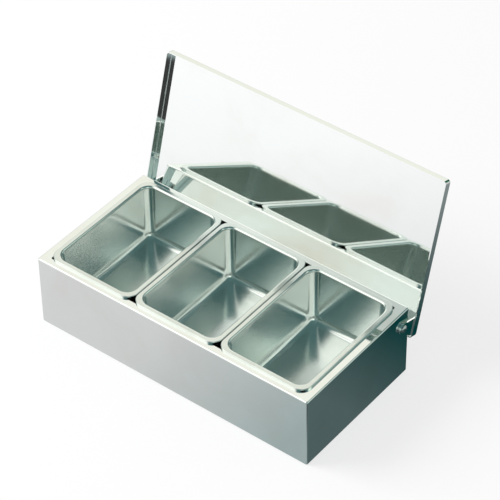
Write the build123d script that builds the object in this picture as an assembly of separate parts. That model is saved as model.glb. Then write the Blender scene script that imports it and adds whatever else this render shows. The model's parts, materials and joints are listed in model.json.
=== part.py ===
from build123d import *
import math
import os

# Table-top condiment caddy in stainless sheet: an open box with three lift-out pans under one flip lid.
# Millimetres. +X runs to the right along the front, +Y to the rear, +Z up.
# The origin is the middle of the box's underside. The lid is modelled shut, then turned open.

# ---- driving dimensions: the pans ---------------------------------------------------------------
pan_names = ("pan_left", "pan_middle", "pan_right")
pan_rim_width = 78.4          # over the turned-down edges, along X
pan_rim_length = 113.0        # over the turned-down edges, along Y
pan_depth = 49.0              # from the rim's top to the inside of the floor
pan_sheet = 0.6
pan_rim_band = 4.5            # from the inside of a wall to the outside of the rim
pan_rim_drop = 1.8            # height of the turned-down edge, which stands on the box's ledge
pan_rim_corner = 9.0
pan_rim_rounding = 0.5        # on the outer top edge of the rim
pan_wall_taper = 2.2          # degrees from upright
pan_mouth_corner = 8.0        # inside corner radius at the top
pan_floor_rounding = 5.5      # inside radius between walls and floor
pan_lip_bend = 1.1            # under the bend from the rim into the wall
pan_gap = 0.6                 # between neighbouring rims

# ---- driving dimensions: the box ----------------------------------------------------------------
box_sheet = 0.8
box_upright_bend = 0.8        # inside radius of the four upright edges
box_edge_bend = 0.4           # inside radius of the top and bottom edges
ledge_beside_rims = 6.8       # ledge left bare at the left and right of the pans
ledge_before_rims = 5.0       # ledge left bare at the front and rear of the pans
rim_bearing = 1.2             # how far the rims lie over the ledge
ledge_inner_corner = 1.5
space_under_pans = 13.9

# ---- driving dimensions: the lid ----------------------------------------------------------------
lid_sheet = 0.8
lid_headroom = 3.1            # from the rims' tops to the shut lid's underside
lid_flange_overlap = 1.1      # how far the shut lid's flange reaches below the box's top
lid_front_gap = 2.4           # from the front wall to the lid's front flange
lid_rear_gap = 3.0            # from the rear wall to the lid's rear flange
lid_upright_bend = 1.6        # inside radius of the lid's four corners
lid_edge_bend = 0.5           # inside radius from the panel into the flange

# ---- driving dimensions: the hinge --------------------------------------------------------------
pivot_from_rear = 8.8
pivot_below_top = 14.0
ear_thickness = 1.2
ear_end_radius = 4.8
ear_bend_gap = 0.2            # left between an ear and the lid's bends
washer_thickness = 0.7
washer_radius = 4.2
hinge_play = 0.05             # beside each face of an ear and of a spacer washer
shank_radius = 2.0
turning_clearance = 0.05      # radial, the ears and spacer washers turn on the shanks
fixed_clearance = 0.02        # radial, the shanks in the walls and backing washers
rivet_head_radius = 3.1
rivet_head_height = 1.7
rivet_head_edge = 0.4         # upright edge under the dome
backing_washer_thickness = 0.8
clinch_radius = 3.1
clinch_height = 1.1
clinch_chamfer = 0.4
stop_gap = 0.1                # left between the rear flange's tip and the rear wall when open
shut_gap = 0.2                # left between the lid and the front rims when shut

# ---- what follows from them ---------------------------------------------------------------------
pan_pitch = pan_rim_width + pan_gap
row_width = len(pan_names) * pan_pitch - pan_gap
box_width = row_width + 2 * ledge_beside_rims
box_length = pan_rim_length + 2 * ledge_before_rims
box_height = box_sheet + space_under_pans + pan_sheet + pan_depth - pan_rim_drop
rim_top = box_height + pan_rim_drop

pivot_y = box_length / 2 - pivot_from_rear
pivot_z = box_height - pivot_below_top
hinge_axis = Axis((0, pivot_y, pivot_z), (1, 0, 0))

wall_outside = box_width / 2
washer_inside = wall_outside + hinge_play
ear_inside = washer_inside + washer_thickness + hinge_play
flange_inside = ear_inside + ear_thickness
lid_width = 2 * (flange_inside + lid_sheet)
lid_front = -box_length / 2 - lid_front_gap - lid_sheet
lid_rear = box_length / 2 + lid_rear_gap + lid_sheet
lid_top = rim_top + lid_headroom + lid_sheet
lid_flange_tip = box_height - lid_flange_overlap

# The lid opens until the tip of its rear flange meets the rear wall.
tip_y = lid_rear - pivot_y
tip_z = lid_flange_tip - pivot_z
tip_reach = math.hypot(tip_y, tip_z)
open_angle = math.degrees(math.atan2(tip_z, tip_y) + math.acos((pivot_from_rear + stop_gap) / tip_reach))

# It shuts until its panel meets the front rims, a little past level.
front_rim_y = pan_rim_length / 2 + pivot_y
front_rim_z = rim_top - pivot_z
front_rim_reach = math.hypot(front_rim_y, front_rim_z)
panel_reach = lid_top - lid_sheet - pivot_z
shut_tilt = math.degrees(
    math.atan2(front_rim_y, front_rim_z) - math.acos((panel_reach - shut_gap) / front_rim_reach)
)


def bent_block(width, length, height, upright_rounding, edge_rounding, rounded_ends):
    """A block standing on z = 0 with rounded upright edges. End 0 is its bottom and -1 its top."""
    block = extrude(RectangleRounded(width, length, upright_rounding), height)
    layers = block.edges().group_by(Axis.Z)
    return fillet([edge for end in rounded_ends for edge in layers[end]], edge_rounding)


def tapered_tub(width, length, depth, corner, floor_rounding):
    """A solid that hangs below z = 0, narrowing downwards, with a rounded floor edge."""
    tub = extrude(RectangleRounded(width, length, corner), -depth, taper=pan_wall_taper)
    return fillet(tub.edges().group_by(Axis.Z)[0], floor_rounding)


# ---- box ----------------------------------------------------------------------------------------
def make_box_body():
    """Floor, four walls and the ledge turned in along their tops."""
    ends = (0, -1)
    outside = bent_block(
        box_width, box_length, box_height, box_upright_bend + box_sheet, box_edge_bend + box_sheet, ends
    )
    inside = bent_block(
        box_width - 2 * box_sheet,
        box_length - 2 * box_sheet,
        box_height - 2 * box_sheet,
        box_upright_bend,
        box_edge_bend,
        ends,
    )
    opening = extrude(
        RectangleRounded(row_width - 2 * rim_bearing, pan_rim_length - 2 * rim_bearing, ledge_inner_corner),
        box_height,
    )
    bore = Cylinder(shank_radius + fixed_clearance, box_width, rotation=(0, 90, 0))
    above_floor = Pos(0, 0, box_sheet)
    return outside - above_floor * inside - above_floor * opening - Pos(0, pivot_y, pivot_z) * bore


# ---- pans ---------------------------------------------------------------------------------------
def make_pan():
    """One drawn pan with its rim's top on z = 0."""
    mouth_width = pan_rim_width - 2 * pan_rim_band
    mouth_length = pan_rim_length - 2 * pan_rim_band
    rim = extrude(RectangleRounded(pan_rim_width, pan_rim_length, pan_rim_corner), -pan_rim_drop)
    rim = fillet(rim.edges().group_by(Axis.Z)[-1], pan_rim_rounding)
    under_rim = Pos(0, 0, -pan_sheet) * extrude(
        RectangleRounded(
            pan_rim_width - 2 * pan_sheet, pan_rim_length - 2 * pan_sheet, pan_rim_corner - pan_sheet
        ),
        -pan_rim_drop,
    )
    tub = tapered_tub(
        mouth_width + 2 * pan_sheet,
        mouth_length + 2 * pan_sheet,
        pan_depth + pan_sheet,
        pan_mouth_corner + pan_sheet,
        pan_floor_rounding + pan_sheet,
    )
    skin = rim - under_rim + tub
    bend = [e for e in skin.edges() if abs(e.center().Z + pan_sheet) < 1e-4
            and abs(e.center().X) < mouth_width / 2 + 2 * pan_sheet
            and abs(e.center().Y) < mouth_length / 2 + 2 * pan_sheet]
    skin = fillet(bend, pan_lip_bend)
    hollow = tapered_tub(mouth_width, mouth_length, pan_depth, pan_mouth_corner, pan_floor_rounding)
    pan = skin - hollow
    mouth = [e for e in pan.edges().group_by(Axis.Z)[-1]
             if abs(e.center().X) < mouth_width / 2 + pan_sheet
             and abs(e.center().Y) < mouth_length / 2 + pan_sheet]
    return fillet(mouth, pan_lip_bend + pan_sheet)


# ---- lid and hinge, shut --------------------------------------------------------------------------
def make_lid():
    """A shallow tray upside down over the box."""
    length = lid_rear - lid_front
    height = lid_top - lid_flange_tip
    outside = bent_block(
        lid_width, length, height, lid_upright_bend + lid_sheet, lid_edge_bend + lid_sheet, (0,)
    )
    inside = bent_block(
        lid_width - 2 * lid_sheet, length - 2 * lid_sheet, height, lid_upright_bend, lid_edge_bend, (0,)
    )
    tray = outside - Pos(0, 0, lid_sheet) * inside
    return Pos(0, (lid_front + lid_rear) / 2, lid_top) * Rot(X=180) * tray


def make_ear():
    """The right ear: a plate that narrows from the lid's side flange to a round end on the rivet."""
    front = -ear_end_radius
    rear = lid_rear - lid_sheet - lid_upright_bend - ear_bend_gap - pivot_y
    top = lid_top - lid_sheet - lid_edge_bend - ear_bend_gap - pivot_z
    weld = Pos((front + rear) / 2, (tip_z + top) / 2) * Rectangle(rear - front, top - tip_z)
    outline = make_hull(Circle(ear_end_radius).edges() + weld.edges())
    outline -= Circle(shank_radius + turning_clearance)
    plate = extrude(Plane.YZ * outline, ear_thickness)
    return Pos(ear_inside, pivot_y, pivot_z) * plate


def make_washer(thickness, inner_face, clearance):
    """A washer round the right rivet's shank, reaching outwards from inner_face."""
    ring = Circle(washer_radius) - Circle(shank_radius + clearance)
    return Pos(inner_face, pivot_y, pivot_z) * extrude(Plane.YZ * ring, thickness)


def make_rivet():
    """The right rivet: domed head outside the ear, shank, and the end closed over inside the box."""
    clinch_outer = wall_outside - box_sheet - backing_washer_thickness
    clinch_inner = clinch_outer - clinch_height
    head_inner = flange_inside + hinge_play
    head_outer = head_inner + rivet_head_height
    dome_foot = head_inner + rivet_head_edge
    dome_height = head_outer - dome_foot
    dome_radius = (dome_height**2 + rivet_head_radius**2) / (2 * dome_height)
    dome_half_angle = math.asin(rivet_head_radius / dome_radius) / 2
    dome_middle = (
        head_outer - dome_radius * (1 - math.cos(dome_half_angle)),
        dome_radius * math.sin(dome_half_angle),
    )
    profile = Polyline(
        (head_outer, 0),
        (clinch_inner, 0),
        (clinch_inner, clinch_radius - clinch_chamfer),
        (clinch_inner + clinch_chamfer, clinch_radius),
        (clinch_outer, clinch_radius),
        (clinch_outer, shank_radius),
        (head_inner, shank_radius),
        (head_inner, rivet_head_radius),
        (dome_foot, rivet_head_radius),
    )
    dome = ThreePointArc((dome_foot, rivet_head_radius), dome_middle, (head_outer, 0))
    return Pos(0, pivot_y, pivot_z) * revolve(make_face(profile + dome), Axis.X)


def turned_open(solid):
    return solid.rotate(hinge_axis, -open_angle)


def on_left(solid):
    return solid.mirror(Plane.YZ)


# ---- assembly -----------------------------------------------------------------------------------
nodes = {"box_body": make_box_body()}

pan = make_pan()
for place, name in enumerate(pan_names):
    offset = (place - (len(pan_names) - 1) / 2) * pan_pitch
    nodes[name] = Pos(offset, 0, rim_top) * pan

nodes["lid"] = turned_open(make_lid())

right_hand = {
    "hinge_ear": turned_open(make_ear()),
    "hinge_rivet": make_rivet(),
    "spacer_washer": make_washer(washer_thickness, washer_inside, turning_clearance),
    "backing_washer": make_washer(
        backing_washer_thickness, wall_outside - box_sheet - backing_washer_thickness, fixed_clearance
    ),
}
for name, solid in right_hand.items():
    nodes[name + "_right"] = solid
    nodes[name + "_left"] = on_left(solid)

os.makedirs("parts", exist_ok=True)
for name, solid in nodes.items():
    export_step(solid, f"parts/{name}.step")

print(f"box {box_width:.2f} x {box_length:.2f} x {box_height:.2f}, rims' tops at {rim_top:.2f}")
print(f"pivot y {pivot_y:.2f} z {pivot_z:.2f}, lid {lid_width:.2f} x {lid_rear - lid_front:.2f}")
print(f"open {open_angle:.2f} degrees from level, shut {shut_tilt:.2f} degrees past level")
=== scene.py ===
# %% [markdown]
# # A table-top condiment caddy in polished steel
#
# The caddy is a rectangular box folded from thin stainless sheet. Three deep
# drawn pans hang in it by their rims, and one shallow lid turns on two ears
# that are riveted to the box's ends. All of that is made in the solid model
# already, so this lesson loads it, and then works on what the solid model
# lacks: the steel itself, the table it stands on, the light that steel
# mirrors, and the camera.

# %% Load the solid model
import json
import math
import bpy
from mathutils import Matrix, Vector

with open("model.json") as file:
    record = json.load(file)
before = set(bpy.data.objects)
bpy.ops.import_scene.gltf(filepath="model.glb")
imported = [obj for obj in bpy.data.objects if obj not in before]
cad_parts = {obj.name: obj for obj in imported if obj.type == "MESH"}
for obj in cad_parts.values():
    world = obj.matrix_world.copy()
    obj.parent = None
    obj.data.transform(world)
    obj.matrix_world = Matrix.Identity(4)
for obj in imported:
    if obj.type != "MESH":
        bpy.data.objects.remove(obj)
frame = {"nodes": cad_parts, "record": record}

scene = bpy.context.scene
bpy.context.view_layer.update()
print("nodes:", len(frame["nodes"]))

# %% [markdown]
# ## The camera
#
# The picture was taken from the front and the right, looking down at about
# 41 degrees from almost two metres away. A long lens keeps the box's edges
# nearly parallel. The place and the lens could be found by eye, but the edges
# of a box that is known to be square give them more closely: they were fitted
# to the corners of the box and the lid in the photograph. The small shift
# puts the box where the photograph has it in the frame.

# %% Set up the camera
PICTURE_WIDTH = 500.0
SENSOR = 36.0
FOCAL_PIXELS = 2423.6
CENTRE_PIXELS = (287.22, 230.69)
CAMERA_TARGET = Vector((-0.01849, 0.10418, 0.031))
CAMERA_AZIMUTH, CAMERA_ELEVATION = 37.248, 41.019
CAMERA_DISTANCE = 1.86526
FARTHEST_SEEN = 50.0


def direction(azimuth, elevation):
    """Unit vector towards a place; azimuth 0 is the front, 90 the right."""
    a, e = math.radians(azimuth), math.radians(elevation)
    return Vector((math.sin(a) * math.cos(e),
                   -math.cos(a) * math.cos(e),
                   math.sin(e)))


def look_from(name, target, azimuth, elevation, distance):
    back = direction(azimuth, elevation)
    right = Vector((math.cos(math.radians(azimuth)),
                    math.sin(math.radians(azimuth)), 0.0))
    up = back.cross(right)
    place = target + back * distance
    camera = bpy.data.objects.new(name, bpy.data.cameras.new(name))
    camera.matrix_world = Matrix(((right.x, up.x, back.x, place.x),
                                  (right.y, up.y, back.y, place.y),
                                  (right.z, up.z, back.z, place.z),
                                  (0.0, 0.0, 0.0, 1.0)))
    scene.collection.objects.link(camera)
    return camera


camera = look_from("camera", CAMERA_TARGET, CAMERA_AZIMUTH,
                   CAMERA_ELEVATION, CAMERA_DISTANCE)
camera.data.sensor_width = SENSOR
camera.data.lens = FOCAL_PIXELS * SENSOR / PICTURE_WIDTH
camera.data.shift_x = (PICTURE_WIDTH / 2 - CENTRE_PIXELS[0]) / PICTURE_WIDTH
camera.data.shift_y = (CENTRE_PIXELS[1] - PICTURE_WIDTH / 2) / PICTURE_WIDTH
camera.data.clip_end = FARTHEST_SEEN
scene.camera = camera
print("camera at", [round(v, 3) for v in camera.matrix_world.translation])

# %% [markdown]
# ## Helpers for nodes
#
# Every material here is a small tree of nodes. Adding a node takes three
# steps, add, set, link, so one helper does all three: an argument that is a
# socket is linked, and any other value is set on the input itself.

# %% Node helper


def add_node(tree, kind, inputs=None, **settings):
    """Add one node; inputs maps a socket's name or number to a value."""
    node = tree.nodes.new("ShaderNode" + kind)
    for key, value in settings.items():
        setattr(node, key, value)
    for key, value in (inputs or {}).items():
        if isinstance(value, bpy.types.NodeSocket):
            tree.links.new(value, node.inputs[key])
        else:
            node.inputs[key].default_value = value
    return node


def add_math(tree, operation, first, second=None, third=None, clamp=False):
    node = add_node(tree, "Math", operation=operation, use_clamp=clamp)
    for number, value in enumerate((first, second, third)):
        if isinstance(value, bpy.types.NodeSocket):
            tree.links.new(value, node.inputs[number])
        elif value is not None:
            node.inputs[number].default_value = value
    return node.outputs[0]


def smooth_mask(tree, value, start, end):
    """0 before start and 1 after end, with a soft step between them."""
    node = add_node(tree, "MapRange", {"Value": value, "From Min": start,
                                       "From Max": end},
                    interpolation_type="SMOOTHSTEP")
    return node.outputs["Result"]


def add_mix(tree, factor, first, second):
    """Mix two colours; factor, first and second are values or sockets."""
    node = add_node(tree, "Mix", data_type="RGBA")
    for number, value in ((0, factor), (6, first), (7, second)):
        if isinstance(value, bpy.types.NodeSocket):
            tree.links.new(value, node.inputs[number])
        elif isinstance(value, float):
            node.inputs[number].default_value = value
        else:
            node.inputs[number].default_value = (*value, 1.0)
    return node.outputs[2]


def add_ramp(tree, value, stops):
    """Colours at given places from 0 to 1, blended in between."""
    node = add_node(tree, "ValToRGB", {0: value})
    elements = node.color_ramp.elements
    while len(elements) < len(stops):
        elements.new(0.5)
    for element, (at, colour) in zip(elements, stops):
        element.position = at
        element.color = (*colour, 1.0)
    return node.outputs[0]


def new_group(name, inputs, outputs):
    """A node group with named sockets, and its two end nodes."""
    group = bpy.data.node_groups.new(name, "ShaderNodeTree")
    for label, kind, value in inputs:
        socket = group.interface.new_socket(
            label, in_out="INPUT", socket_type="NodeSocket" + kind)
        if value is not None:
            socket.default_value = value
    for label, kind in outputs:
        group.interface.new_socket(
            label, in_out="OUTPUT", socket_type="NodeSocket" + kind)
    start = group.nodes.new("NodeGroupInput")
    end = group.nodes.new("NodeGroupOutput")
    return group, start, end


def place_group(tree, group, inputs):
    node = tree.nodes.new("ShaderNodeGroup")
    node.node_tree = group
    for key, value in inputs.items():
        if isinstance(value, bpy.types.NodeSocket):
            tree.links.new(value, node.inputs[key])
        else:
            node.inputs[key].default_value = value
    return node


# Depths of the fine relief, in metres.
GRAIN_DEPTH = 0.0000002
DENT_DEPTH = 0.00001
print("helpers ready")

# %% [markdown]
# ## What every steel surface shares
#
# Stainless sheet is never a perfect mirror. The mill leaves fine parallel
# lines, handling leaves soft smudges, and edges that knock against other
# things are rubbed brighter and duller than the flats. Each of these is one
# node group. A group gives only a mask or a height, and each material
# chooses what to do with it.

# %% Fine parallel lines of the sheet
lines, lines_in, lines_out = new_group(
    "sheet lines",
    [("Position", "Vector", None), ("Along", "Vector", (1, 1, 1)),
     ("Fineness", "Float", 900.0)],
    [("Lines", "Float")])
stretched = add_node(lines, "VectorMath", {
    0: lines_in.outputs["Position"], 1: lines_in.outputs["Along"]},
    operation="MULTIPLY")
streak = add_node(lines, "TexNoise", {
    "Vector": stretched.outputs[0], "Scale": lines_in.outputs["Fineness"],
    "Detail": 3.0, "Roughness": 0.6}, noise_dimensions="3D")
lines.links.new(streak.outputs[0], lines_out.inputs["Lines"])

# %% Soft smudges from handling
smudge, smudge_in, smudge_out = new_group(
    "hand smudges",
    [("Position", "Vector", None), ("Scale", "Float", 22.0),
     ("Cover", "Float", 0.5)],
    [("Smudge", "Float")])
blotch = add_node(smudge, "TexNoise", {
    "Vector": smudge_in.outputs["Position"],
    "Scale": smudge_in.outputs["Scale"], "Detail": 4.0,
    "Roughness": 0.55, "Distortion": 0.6})
edge = add_math(smudge, "SUBTRACT", 1.0, smudge_in.outputs["Cover"])
above = add_math(smudge, "SUBTRACT", blotch.outputs[0], edge)
smudge_mask = smooth_mask(smudge, above, -0.12, 0.22)
smudge.links.new(smudge_mask, smudge_out.inputs["Smudge"])

# %% Wear along edges
wear, wear_in, wear_out = new_group(
    "edge wear",
    [("Position", "Vector", None), ("Width", "Float", 0.0006),
     ("Break up", "Float", 260.0)],
    [("Wear", "Float")])
rounded = add_node(wear, "Bevel", {"Radius": wear_in.outputs["Width"]},
                   samples=4)
surface = add_node(wear, "NewGeometry")
same_way = add_node(wear, "VectorMath", {
    0: rounded.outputs[0], 1: surface.outputs["Normal"]},
    operation="DOT_PRODUCT")
turned = add_math(wear, "SUBTRACT", 1.0, same_way.outputs["Value"])
chips = add_node(wear, "TexNoise", {
    "Vector": wear_in.outputs["Position"],
    "Scale": wear_in.outputs["Break up"], "Detail": 2.0})
broken = add_math(wear, "MULTIPLY", turned,
                  smooth_mask(wear, chips.outputs[0], 0.3, 0.7))
wear_mask = smooth_mask(wear, broken, 0.02, 0.25)
wear.links.new(wear_mask, wear_out.inputs["Wear"])
print("groups:", [g.name for g in bpy.data.node_groups])

# %% [markdown]
# ## Polished sheet: the box, the lid and the ears
#
# The box and the lid are bright annealed sheet, polished until they mirror
# the table and the pans. A mirror takes its colour from what it reflects, so
# the steel itself gets a plain light grey and a roughness near zero. What
# makes it sheet rather than glass is a very slow waviness, of a few
# hundredths of a degree, and faint smudges that dull it.

# %% Slow waviness of a flat sheet
wave, wave_in, wave_out = new_group(
    "sheet waviness",
    [("Position", "Vector", None), ("Scale", "Float", 12.0),
     ("Depth", "Float", 0.00003)],
    [("Height", "Float")])
swell = add_node(wave, "TexNoise", {
    "Vector": wave_in.outputs["Position"],
    "Scale": wave_in.outputs["Scale"], "Detail": 1.0, "Roughness": 0.4})
wave_height = add_math(wave, "MULTIPLY", swell.outputs[0],
                       wave_in.outputs["Depth"])
wave.links.new(wave_height, wave_out.inputs["Height"])


def steel_material(name):
    """A metal material with its coordinates and its shader, nothing else."""
    material = bpy.data.materials.new(name)
    material.use_nodes = True
    tree = material.node_tree
    shader = tree.nodes["Principled BSDF"]
    shader.inputs["Metallic"].default_value = 1.0
    position = add_node(tree, "TexCoord").outputs["Object"]
    return material, tree, shader, position


def add_roughness(tree, base, *layers):
    """A base roughness, plus each layer's mask times its amount."""
    rough = base
    for mask, amount in layers:
        rough = add_math(tree, "MULTIPLY_ADD", mask, amount, rough)
    return rough


def own_box(name):
    """The two corners of a solid's box, in its own coordinates."""
    corners = [Vector(corner) for corner in frame["nodes"][name].bound_box]
    return corners[0], corners[6]


def add_bump(tree, height, strength=1.0, under=None):
    """A height in metres, turned into a normal; under is a normal below it."""
    inputs = {"Strength": strength, "Distance": 1.0, "Height": height}
    if under is not None:
        inputs["Normal"] = under
    return add_node(tree, "Bump", inputs).outputs["Normal"]


# %% The polished material
polished, tree, shader, position = steel_material("polished steel")
fine = place_group(tree, lines, {
    "Position": position, "Along": (0.03, 0.03, 1.0), "Fineness": 2500.0})
hands = place_group(tree, smudge, {
    "Position": position, "Scale": 16.0, "Cover": 0.48})
rubbed = place_group(tree, wear, {
    "Position": position, "Width": 0.0005, "Break up": 220.0})
swell_node = place_group(tree, wave, {
    "Position": position, "Scale": 9.0, "Depth": 0.00004})
clean = add_mix(tree, fine.outputs["Lines"],
                (0.845, 0.87, 0.865), (0.885, 0.905, 0.90))
touched = add_mix(tree, hands.outputs["Smudge"], clean, (0.84, 0.845, 0.83))
worn = add_mix(tree, rubbed.outputs["Wear"], touched, (0.92, 0.92, 0.91))
tree.links.new(worn, shader.inputs["Base Color"])
dull = add_roughness(tree, 0.02, (hands.outputs["Smudge"], 0.022),
                     (fine.outputs["Lines"], 0.015),
                     (rubbed.outputs["Wear"], 0.12))
tree.links.new(dull, shader.inputs["Roughness"])
scratch = add_math(tree, "MULTIPLY_ADD", fine.outputs["Lines"], GRAIN_DEPTH,
                   swell_node.outputs["Height"])
tree.links.new(add_bump(tree, scratch), shader.inputs["Normal"])
print("polished steel:", len(tree.nodes), "nodes")

# %% [markdown]
# ## Satin sheet: the three pans
#
# The pans are deep drawn and then only brushed inside, so they blur what
# they mirror. Thin drawn walls also bow a little. The slow curve here stands
# for about 1.2 millimetres at the ends of a long wall and half of that over
# a wall's height, and it softens the plain reflections of a flat wall. It is
# a height that grows with the square of the distance from a point in the
# pan's middle, a little below its rim. It only tilts the reflections: the
# wall itself stays flat, as it is in the solid model. The three pans are a
# fixed step apart, so the distance is measured in the nearest pan.

# %% The hollow of a drawn pan
pan_low, pan_high = own_box("pan_right")
PAN_STEP = (pan_low.x + pan_high.x) / 2
BOW_MIDDLE_HEIGHT = 0.050

hollow, hollow_in, hollow_out = new_group(
    "drawn hollow",
    [("Position", "Vector", None), ("Curve", "Vector", (1.0, 1.0, 1.0))],
    [("Height", "Float")])
split = add_node(hollow, "SeparateXYZ",
                 {0: hollow_in.outputs["Position"]})
steps = add_math(hollow, "DIVIDE", split.outputs["X"], PAN_STEP)
nearest = add_math(hollow, "ROUND", steps)
nearest = add_math(hollow, "MULTIPLY", nearest, PAN_STEP)
middle = add_node(hollow, "CombineXYZ", {
    "X": nearest, "Z": BOW_MIDDLE_HEIGHT})
away = add_node(hollow, "VectorMath", {
    0: hollow_in.outputs["Position"], 1: middle.outputs[0]},
    operation="SUBTRACT")
curved = add_node(hollow, "VectorMath", {
    0: away.outputs[0], 1: hollow_in.outputs["Curve"]},
    operation="MULTIPLY")
squares = add_node(hollow, "VectorMath", {
    0: curved.outputs[0], 1: away.outputs[0]}, operation="DOT_PRODUCT")
hollow_height = add_math(hollow, "MULTIPLY", squares.outputs["Value"], 0.5)
hollow.links.new(hollow_height, hollow_out.inputs["Height"])

# %% The satin material
WALL_BOW = (1.0, 1.0, 1.0)
RIM_HEIGHT, BOW_STARTS = 0.0625, 0.0585
satin, tree, shader, position = steel_material("satin steel")
brushed = place_group(tree, lines, {
    "Position": position, "Along": (1.0, 0.04, 0.35), "Fineness": 1400.0})
hands = place_group(tree, smudge, {
    "Position": position, "Scale": 26.0, "Cover": 0.5})
rubbed = place_group(tree, wear, {
    "Position": position, "Width": 0.0005, "Break up": 260.0})
dish = place_group(tree, hollow, {"Position": position, "Curve": WALL_BOW})
clean = add_mix(tree, brushed.outputs["Lines"],
                (0.735, 0.77, 0.755), (0.795, 0.83, 0.815))
touched = add_mix(tree, hands.outputs["Smudge"], clean, (0.71, 0.745, 0.725))
worn = add_mix(tree, rubbed.outputs["Wear"], touched, (0.9, 0.9, 0.89))
tree.links.new(worn, shader.inputs["Base Color"])
dull = add_roughness(tree, 0.13, (hands.outputs["Smudge"], 0.03),
                     (brushed.outputs["Lines"], 0.04))
tree.links.new(dull, shader.inputs["Roughness"])
height = add_node(tree, "SeparateXYZ", {0: position}).outputs["Z"]
below_rim = smooth_mask(tree, height, RIM_HEIGHT, BOW_STARTS)
dished = add_bump(tree, dish.outputs["Height"], below_rim)
grain = add_math(tree, "MULTIPLY", brushed.outputs["Lines"], GRAIN_DEPTH)
tree.links.new(add_bump(tree, grain, under=dished), shader.inputs["Normal"])
print("satin steel:", len(tree.nodes), "nodes")

# %% [markdown]
# ## Rivets and washers
#
# The rivets and washers are turned from bar, not cut from the polished
# sheet. They are a shade darker and duller, with the tiny dents that the
# riveting hammer leaves in the heads.

# %% The rivet material
rivet, tree, shader, position = steel_material("rivet steel")
hammered = add_node(tree, "TexNoise", {
    "Vector": position, "Scale": 700.0, "Detail": 2.0})
hands = place_group(tree, smudge, {
    "Position": position, "Scale": 180.0, "Cover": 0.5})
rubbed = place_group(tree, wear, {
    "Position": position, "Width": 0.0003, "Break up": 500.0})
touched = add_mix(tree, hands.outputs["Smudge"],
                  (0.74, 0.74, 0.73), (0.62, 0.62, 0.6))
worn = add_mix(tree, rubbed.outputs["Wear"], touched, (0.88, 0.88, 0.86))
tree.links.new(worn, shader.inputs["Base Color"])
dull = add_roughness(tree, 0.1, (hands.outputs["Smudge"], 0.1))
tree.links.new(dull, shader.inputs["Roughness"])
dents = add_math(tree, "MULTIPLY", hammered.outputs[0], DENT_DEPTH)
tree.links.new(add_bump(tree, dents), shader.inputs["Normal"])
print("rivet steel:", len(tree.nodes), "nodes")

# %% Put the three finishes on the solids
finishes = {"polished_steel": polished, "satin_steel": satin,
            "rivet_steel": rivet}
slots = {part["node"]: part["material_slot"]
         for part in frame["record"]["subparts"]}
for name, solid in sorted(frame["nodes"].items()):
    for number in range(len(solid.material_slots)):
        solid.material_slots[number].material = finishes[slots[name]]
print("finished:", {name: slots[name] for name in sorted(slots)})

# %% [markdown]
# ## The table
#
# The caddy stands on plain white. The table is a wide pale disc that takes
# its shadow, and most of what the camera sees of it is even white light,
# which keeps the shadow soft. The steel mirrors the same disc, and that
# decides how every wall looks: the lid shows the white of the table to the
# front left, the front wall shows the table greyed by painted shade close to
# the box, and the right wall shows a painted shadow beside the box's right
# end. A card of each tone could be laid on the table. Here the disc is
# painted with this shade by place instead, for mirrored rays alone, with two
# soft ramps and two patches of painted shadow that stay where they are when
# the view changes.

# %% The table's disc
for chosen in bpy.context.selected_objects:
    chosen.select_set(False)
TABLE_RADIUS = 6.0
TABLE_GAP = 0.00005
bpy.ops.mesh.primitive_circle_add(vertices=96, radius=TABLE_RADIUS,
                                  fill_type="NGON",
                                  location=(0.0, 0.0, -TABLE_GAP))
table = bpy.context.object
table.name = "table"

# %% The table's material
table_material = bpy.data.materials.new("white table, shade painted for mirrors")
table_material.use_nodes = True
tree = table_material.node_tree
tree.nodes.clear()
position = add_node(tree, "TexCoord").outputs["Object"]
rays = add_node(tree, "LightPath")
place = add_node(tree, "SeparateXYZ", {0: position})


def table_ramp(value, stops):
    """Colours at given places on the table, in metres."""
    start, end = stops[0][0], stops[-1][0]
    along = add_node(tree, "MapRange", {
        "Value": value, "From Min": start, "From Max": end}).outputs[0]
    return add_ramp(tree, along, [((at - start) / (end - start), colour)
                                  for at, colour in stops])


def table_spot(x, y, half_x, half_y, inner):
    """1 inside an oval patch of the table, 0 outside, soft between."""
    across = add_math(tree, "MULTIPLY_ADD", place.outputs["X"],
                      1.0 / half_x, -x / half_x)
    along = add_math(tree, "MULTIPLY_ADD", place.outputs["Y"],
                     1.0 / half_y, -y / half_y)
    reach = add_math(tree, "SQRT", add_math(
        tree, "MULTIPLY_ADD", across, across,
        add_math(tree, "MULTIPLY", along, along)))
    return smooth_mask(tree, reach, 1.0, inner)


WHITE = (0.92, 0.92, 0.92)
# Painted shadow for mirrored rays: its tone, and two oval patches (x, y, half
# sizes, inner edge).
SHADOW_PAINT = (0.05, 0.05, 0.05)
SHADOW_PAINT_PATCHES = ((0.2, -0.4, 0.2, 0.25, 0.75), (0.17, -0.1, 0.05, 0.05, 0.0))
LIFT = 0.7
# Painted shade: in front of the box the mirrored table darkens towards the
# right.
front_shaded_tone = table_ramp(place.outputs["X"], (
    (-0.3, (1.0, 1.0, 1.0)), (-0.05, (0.9, 0.9, 0.9)),
    (0.1, (0.5, 0.6, 0.6))))
# Painted shade: close to the box the mirrored table is a quarter darker.
near_box_shade = table_spot(0.0, 0.0, 0.30, 0.27, 0.7)
front_shaded_tone = add_mix(tree, near_box_shade, front_shaded_tone, add_mix(
    tree, 0.75, (0.0, 0.0, 0.0), front_shaded_tone))
# Painted shadow: beside the box's right end the mirrored table is dark
# green-grey, lighter again farther back.
right_painted_shadow = table_ramp(place.outputs["Y"], (
    (0.0, (0.1, 0.15, 0.15)), (0.1, (0.0, 0.05, 0.05)),
    (0.6, (0.8, 0.8, 0.8))))
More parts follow.
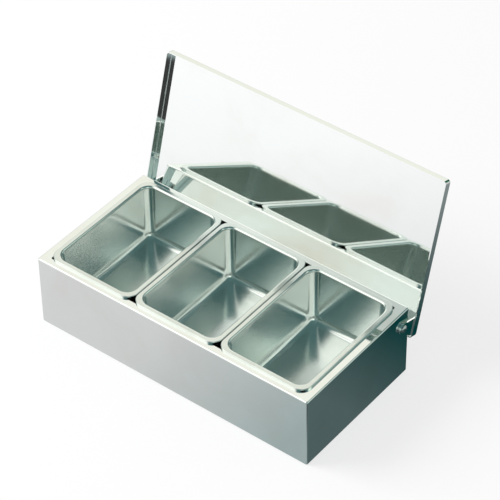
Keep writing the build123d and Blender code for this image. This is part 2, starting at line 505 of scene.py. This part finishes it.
# The painted shadow starts along a line through the box's front right corner.
box_low, box_high = own_box("box_body")
ACROSS, ALONG = 0.5, 0.87
to_right = add_math(tree, "MULTIPLY_ADD", place.outputs["X"], ACROSS,
                    -ACROSS * box_high.x - ALONG * box_low.y)
to_right = add_math(tree, "MULTIPLY_ADD", place.outputs["Y"], ALONG, to_right)
beside_box_shadow_mask = add_math(tree, "MULTIPLY",
                      smooth_mask(tree, to_right, -0.003, 0.004),
                      smooth_mask(tree, place.outputs["X"], -0.02, 0.11))
mirrored_painted_shade = add_mix(tree, beside_box_shadow_mask, front_shaded_tone, right_painted_shadow)
# Two patches of painted shadow: one to the front right, one at the box's front
# right corner.
for patch in SHADOW_PAINT_PATCHES:
    mirrored_painted_shade = add_mix(tree, table_spot(*patch), mirrored_painted_shade, SHADOW_PAINT)
# Mirrored rays see the table with its painted shade and shadow; other rays see
# it white.
paint_or_painted_shade = add_mix(tree, rays.outputs["Is Glossy Ray"], WHITE,
                       mirrored_painted_shade)
paint = add_node(tree, "BsdfDiffuse", {"Color": paint_or_painted_shade})
lift_or_painted_shade = add_mix(tree, rays.outputs["Is Glossy Ray"], (1.0, 1.0, 1.0),
                      mirrored_painted_shade)
# The table's glow is white for the camera and carries the painted shade for
# mirrored rays.
white = add_node(tree, "Emission", {"Color": lift_or_painted_shade, "Strength": 1.0})
seen = add_math(tree, "ADD", rays.outputs["Is Camera Ray"],
                rays.outputs["Is Transmission Ray"])
seen = add_math(tree, "ADD", seen, rays.outputs["Is Glossy Ray"], clamp=True)
final = add_node(tree, "MixShader", {
    0: add_math(tree, "MULTIPLY", seen, LIFT), 1: paint.outputs[0],
    2: white.outputs[0]})
add_node(tree, "OutputMaterial", {0: final.outputs[0]})
table.data.materials.append(table_material)
print("table:", table.name, "nodes:", len(tree.nodes))

# %% [markdown]
# ## The room that the steel mirrors
#
# Polished steel shows the room and hardly anything else. The room here is
# the world: a pale green band at the height of the walls, a dim ceiling, a
# large window to the front left, a lit rear wall with a dark doorway beside
# it, and three lamps. It could be built from cards around the caddy, but six
# soft spots in the world's own nodes do the same, and never get in the way
# of a view from another side. They have round numbers, so anybody can move
# one and see what it does. Only mirrored rays see this room. The camera sees
# plain white, and the table is lit by an even soft light.

# %% The world's nodes
world = bpy.data.worlds.new("studio")
scene.world = world
world.use_nodes = True
tree = world.node_tree
tree.nodes.clear()
looking = add_node(tree, "TexCoord").outputs["Generated"]
height = add_node(tree, "SeparateXYZ", {0: looking}).outputs["Z"]
WALL_TONES = ((0.0, (0.3, 0.35, 0.3)), (0.3, (0.6, 0.75, 0.7)),
              (0.6, (0.1, 0.2, 0.2)))


def sky_spot(under, colour, azimuth, elevation, inner, outer):
    """A soft round patch of the room, its radii in degrees."""
    facing = add_node(tree, "VectorMath", {
        0: looking, 1: direction(azimuth, elevation)},
        operation="DOT_PRODUCT").outputs["Value"]
    mask = smooth_mask(tree, facing, math.cos(math.radians(outer)),
                       math.cos(math.radians(inner)))
    return add_mix(tree, mask, under, colour)


WINDOW = ((1.5, 1.5, 1.4), 310, 35, 15, 40)
REAR_WALL = ((1.0, 1.0, 0.9), 210, 30, 15, 35)
DOORWAY = ((0.0, 0.1, 0.05), 170, 20, 10, 25)
CEILING_LAMP = ((2.0, 2.0, 1.9), 260, 60, 5, 15)
RIGHT_LAMP = ((1.2, 1.4, 1.2), 120, 40, 5, 20)
FRONT_LAMP = ((1.2, 1.4, 1.3), 45, 30, 5, 15)

room = add_ramp(tree, height, WALL_TONES)
for light in (WINDOW, REAR_WALL, DOORWAY, CEILING_LAMP, RIGHT_LAMP,
              FRONT_LAMP):
    room = sky_spot(room, *light)
mirrored = add_node(tree, "Background", {"Color": room, "Strength": 1.0})
plain = add_node(tree, "Background", {"Color": (1.0, 1.0, 1.0, 1.0),
                                      "Strength": 1.0})
SOFT_LIGHT = 0.55
rays = add_node(tree, "LightPath")
soft = add_node(tree, "Background", {"Color": (1.0, 1.0, 1.0, 1.0),
                                     "Strength": SOFT_LIGHT})
direct = add_math(tree, "ADD", rays.outputs["Is Camera Ray"],
                  rays.outputs["Is Transmission Ray"], clamp=True)
seen = add_node(tree, "MixShader", {0: direct, 1: soft.outputs[0],
                                    2: plain.outputs[0]})
both = add_node(tree, "MixShader", {0: rays.outputs["Is Glossy Ray"],
                                    1: seen.outputs[0],
                                    2: mirrored.outputs[0]})
add_node(tree, "OutputWorld", {0: both.outputs[0]})
print("world nodes:", len(tree.nodes))

# %% [markdown]
# ## The lamp
#
# One large soft lamp at the window, to the front left, gives the caddy its
# shadow, towards the rear right. The steel doesn't mirror the lamp itself,
# because the window in the world already stands for it. The steel also gets
# twelve bounces for its mirrored rays, as a pan's walls mirror each other
# many times before the room shows.

# %% A soft lamp
LAMP_SIZE = 1.4
LAMP_POWER = 55.0
LAMP_DISTANCE = 2.6
lamp_data = bpy.data.lights.new("soft lamp", "AREA")
lamp_data.shape = "SQUARE"
lamp_data.size = LAMP_SIZE
lamp_data.energy = LAMP_POWER
lamp = bpy.data.objects.new("soft lamp", lamp_data)
lamp_place = direction(300, 42) * LAMP_DISTANCE
lamp.location = lamp_place
lamp.rotation_euler = (-lamp_place).to_track_quat("-Z", "Y").to_euler()
lamp.visible_glossy = False
scene.collection.objects.link(lamp)
print("lamp at", [round(v, 2) for v in lamp_place])

# %% Colour management and mirror bounces
MIRROR_BOUNCES = 12
scene.cycles.glossy_bounces = MIRROR_BOUNCES
scene.view_settings.view_transform = "Standard"
